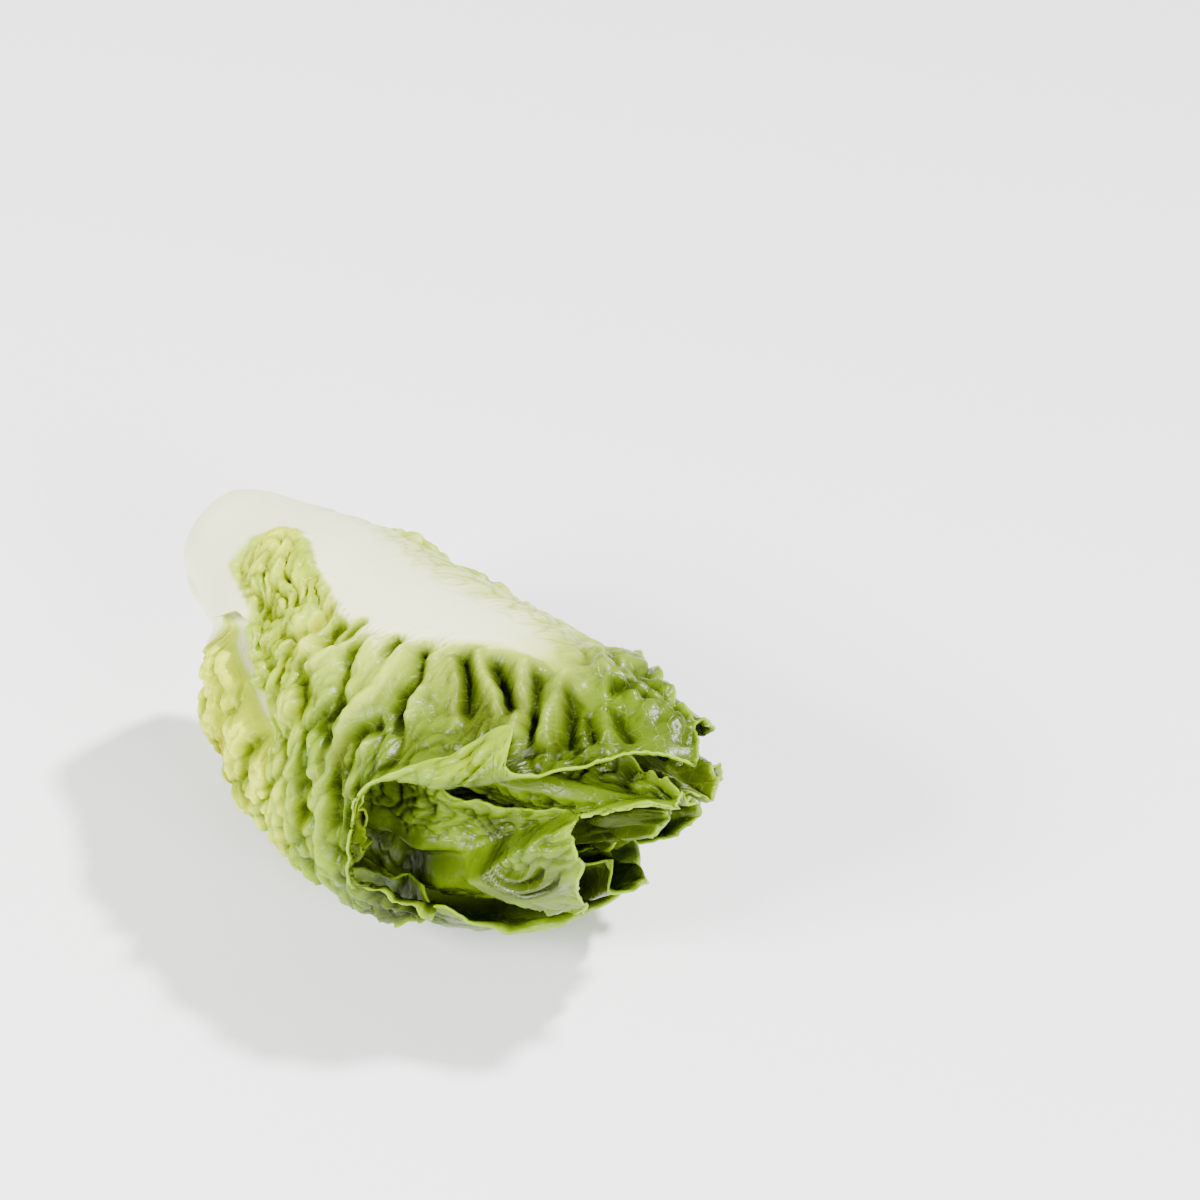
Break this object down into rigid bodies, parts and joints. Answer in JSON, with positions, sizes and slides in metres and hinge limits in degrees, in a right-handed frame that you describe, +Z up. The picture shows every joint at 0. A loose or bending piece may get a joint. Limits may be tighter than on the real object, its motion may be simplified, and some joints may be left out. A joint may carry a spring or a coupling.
{
  "type": "romaine lettuce heart",
  "caption": "Small romaine heart lying on its side: a cut stem and crisp, folded leaves wrapped in layers to a pointed tip.",
  "frame": {"origin": "on the surface it rests on, under the middle of the head's box", "axes": "+X along the head from the cut butt to the leaf tips, +Z up; the hollow side faces -Y"},
  "size_m": [0.148, 0.081, 0.0694],
  "materials": {
    "leaf": "crisp waxy green leaf, glossy where it is dark, ivory on the midrib",
    "young_leaf": "pale yellow-green leaf",
    "stem": "moist cut stem, ivory with a faint brown ring"
  },
  "bodies": {
    "root": {"leaf_top": "leaf", "leaf_bottom": "leaf", "leaf_far_low": "leaf", "leaf_near": "leaf", "leaf_far": "leaf", "leaf_low": "leaf", "leaf_front": "leaf", "leaf_under": "leaf", "leaf_behind": "leaf", "leaf_crown": "leaf", "leaf_inner_1": "young_leaf", "leaf_inner_2": "young_leaf", "inner_bud": "young_leaf", "stem": "stem"}
  },
  "joints": []
}
